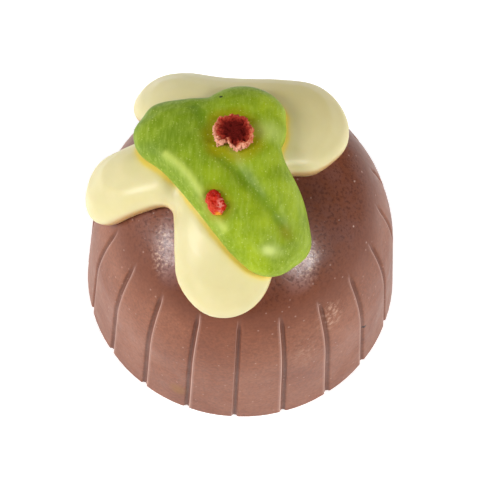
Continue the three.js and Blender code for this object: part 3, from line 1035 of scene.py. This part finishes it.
skin = add_node(tree, "TexNoise", Vector=place, Scale=1 / (skin_width * MM), Detail=4.0)
bump = add_node(tree, "Bump", Strength=0.35, Distance=0.05 * MM, Height=skin)
surface = add_node(tree, "BsdfPrincipled", Base_Color=leaf, Roughness=0.5, IOR=1.46,
                   Specular_IOR_Level=0.22, Normal=bump, Coat_Weight=0.04, Coat_Roughness=0.3,
                   Coat_IOR=1.46, Subsurface_Weight=0.15, Subsurface_Radius=(0.6, 0.7, 0.2),
                   Subsurface_Scale=0.7 * MM)
tree.links.new(surface, output.inputs[0])
green.data.materials.append(green_chocolate)
print("green chocolate nodes:", len(tree.nodes))

# %% [markdown]
# ## Dried fruit: the large crumb
# Freeze-drying leaves fruit as a dry foam with cells of a quarter of a millimetre, and nearly no
# shine. The flesh is dark red in the hollow. The broken rim is pale, from its paler torn flesh and
# from painted light through its thin walls, and it is painted palest at the lower left, as light
# falling on that side. The foam makes the change between the two uneven.

# %% Large crumb finish
foam_width = 0.263

dried_fruit, tree, output = new_material("freeze_dried_red_fruit")
place = add_node(tree, "TexCoord", out="Object")
foam = add_node(tree, "TexNoise", Vector=place, Scale=1 / (foam_width * MM), Detail=4.0, Roughness=0.7)
outwards = add_node(tree, "Attribute", {"attribute_name": "outwards"}, out="Fac")
lower_left = add_node(tree, "Attribute", {"attribute_name": "lower_left"}, out="Fac")
uneven = add_node(tree, "Math", {"operation": "MULTIPLY_ADD"}, s0=foam, s1=0.7, s2=-0.35)
rim = add_node(tree, "Math", {"operation": "ADD"}, s0=outwards, s1=uneven)
# Painted light: paler towards the lower left
rim = add_node(tree, "Math", {"operation": "MULTIPLY_ADD"}, s0=lower_left, s1=0.42, s2=rim)
rim = add_node(tree, "MapRange", Value=rim, From_Min=0.3, From_Max=1.4)
rim_stops = ((0.38, "#600e07"), (0.52, "#8c2418"), (0.66, "#b03e2c"), (0.79, "#da7c58"), (0.88, "#f2ae92"))
red = add_node(tree, "ValToRGB", stops=rim_stops, Fac=rim)
bump = add_node(tree, "Bump", Strength=1.0, Distance=0.12 * MM, Height=foam)
surface = add_node(tree, "BsdfPrincipled", Base_Color=red, Roughness=0.85, IOR=1.4,
                   Specular_IOR_Level=0.2, Normal=bump)
tree.links.new(surface, output.inputs[0])
fruit_large.data.materials.append(dried_fruit)
print("large crumb nodes:", len(tree.nodes))

# %% [markdown]
# ## Dried fruit: the small crumb
# The small crumb is a bit of denser flesh. It took up some fat from the chocolate, so it is redder
# and shinier than the large one. It is painted lighter towards its lower left, as light falling on
# that side, pale cells at its right side are painted glints, and a bit of amber skin hangs on its
# lower tip.

# %% Small crumb finish
foam_width = 0.385

fruit_flesh, tree, output = new_material("freeze_dried_red_fruit_flesh")
place = add_node(tree, "TexCoord", out="Object")
foam = add_node(tree, "TexNoise", Vector=place, Scale=1 / (foam_width * MM), Detail=4.0, Roughness=0.6)
lower_left = add_node(tree, "Attribute", {"attribute_name": "lower_left"}, out="Fac")
# Painted light: lighter towards the lower left
tone = add_node(tree, "Math", {"operation": "MULTIPLY_ADD"}, s0=lower_left, s1=0.6, s2=foam)
flesh_stops = ((0.5, "#8e0c02"), (0.78, "#c21e06"), (1.0, "#d44428"))
red = add_node(tree, "ValToRGB", stops=flesh_stops, Fac=tone)
# Painted glints of pale cells at the right side
painted_glint_patch = spot(tree, place, (-1.9, -5.15, 26.7), (0.5, 0.8, 0.8), 0.5)
glint_cells = add_node(tree, "MapRange", Value=foam, From_Min=0.5, From_Max=0.6, To_Max=0.65)
amber = spot(tree, place, (-2.2, -5.95, 26.6), (0.34, 0.2, 0.8), 0.5)
red = lay_colours(tree, red, ((painted_glint_patch, glint_cells, "#f2ac9c"), (amber, 1.0, "#f2a024")))
bump = add_node(tree, "Bump", Strength=0.6, Distance=0.1 * MM, Height=foam)
surface = add_node(tree, "BsdfPrincipled", Base_Color=red, Roughness=0.4, IOR=1.4,
                   Specular_IOR_Level=0.25, Normal=bump)
tree.links.new(surface, output.inputs[0])
fruit_small.data.materials.append(fruit_flesh)
print("small crumb nodes:", len(tree.nodes))

# %% [markdown]
# ## On the body
# Each piece rides on the one body of the sweet and stands for its measured node, which is hidden.

# %% Place on the body
for piece, node_name, slot_name in (
    (body, "chocolate_body", "milk_chocolate"),
    (white, "white_chocolate", "white_chocolate"),
    (green, "green_chocolate", "green_chocolate"),
    (fruit_large, "fruit_crumb_large", "dried_fruit"),
    (fruit_small, "fruit_crumb_small", "dried_fruit"),
):
    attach(piece, "root")
    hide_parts(node_name)
